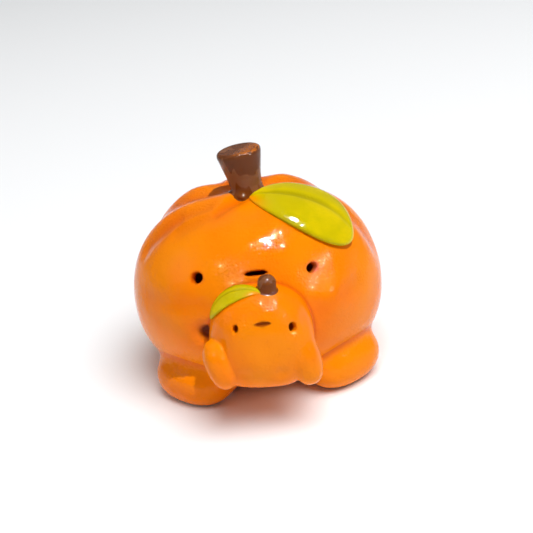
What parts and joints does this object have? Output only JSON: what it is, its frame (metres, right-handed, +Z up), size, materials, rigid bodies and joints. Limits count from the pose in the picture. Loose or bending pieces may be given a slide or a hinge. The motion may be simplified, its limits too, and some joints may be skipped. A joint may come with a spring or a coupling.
{
  "type": "ceramic pumpkin figure",
  "caption": "Glazed hollow pumpkin figure on stubby feet with stem, leaf, eye and mouth holes, and a small matching pumpkin seated on its front.",
  "frame": {"origin": "on the ground under the middle of the whole figure's box", "axes": "+Z up, the face and the small pumpkin look towards -Y, +X is the viewer's right"},
  "size_m": [0.0914, 0.0943, 0.0879],
  "materials": {
    "orange_glaze": "gloss",
    "green_glaze": "gloss",
    "brown_glaze": "gloss"
  },
  "bodies": {
    "root": {"body_shell": "orange_glaze", "body_stem": "brown_glaze", "body_leaf": "green_glaze", "left_foot": "orange_glaze", "right_foot": "orange_glaze", "baby_shell": "orange_glaze", "baby_stem": "brown_glaze", "baby_leaf": "green_glaze", "baby_left_foot": "orange_glaze", "baby_right_foot": "orange_glaze"}
  },
  "joints": []
}
